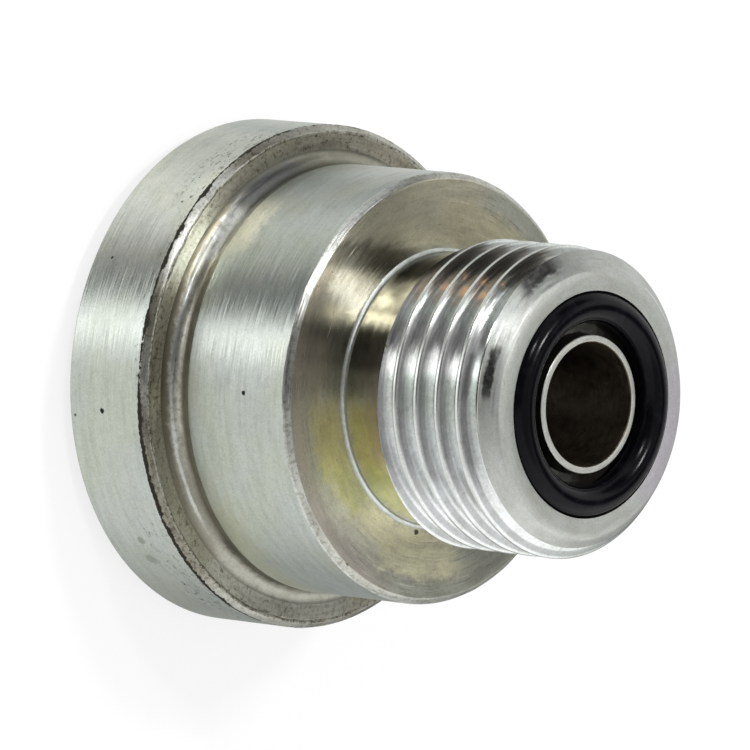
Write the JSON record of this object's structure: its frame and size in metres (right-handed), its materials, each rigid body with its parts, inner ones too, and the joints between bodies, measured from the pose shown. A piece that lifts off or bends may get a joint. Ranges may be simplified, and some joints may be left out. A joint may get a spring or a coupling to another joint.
{
  "type": "o-ring face seal flange adapter",
  "caption": "Straight turned steel fitting: a flange head with a face seal ring at one end, a plain neck, and a threaded nose with a sealing ring in its face.",
  "frame": {"origin": "centre of the flange sealing face, on the axis of the flow passage", "axes": "+Z along the axis from the flange sealing face to the threaded nose; X and Y lie in the sealing face, and the part is round about Z"},
  "size_m": [0.0286, 0.0286, 0.0281],
  "materials": {
    "plated_steel": "satin turned steel with clear zinc plating, pale grey-green",
    "seal_rubber": "smooth black nitrile rubber"
  },
  "bodies": {
    "root": {"adapter_body": "plated_steel", "nose_o_ring": "seal_rubber", "flange_o_ring": "seal_rubber"}
  },
  "joints": []
}
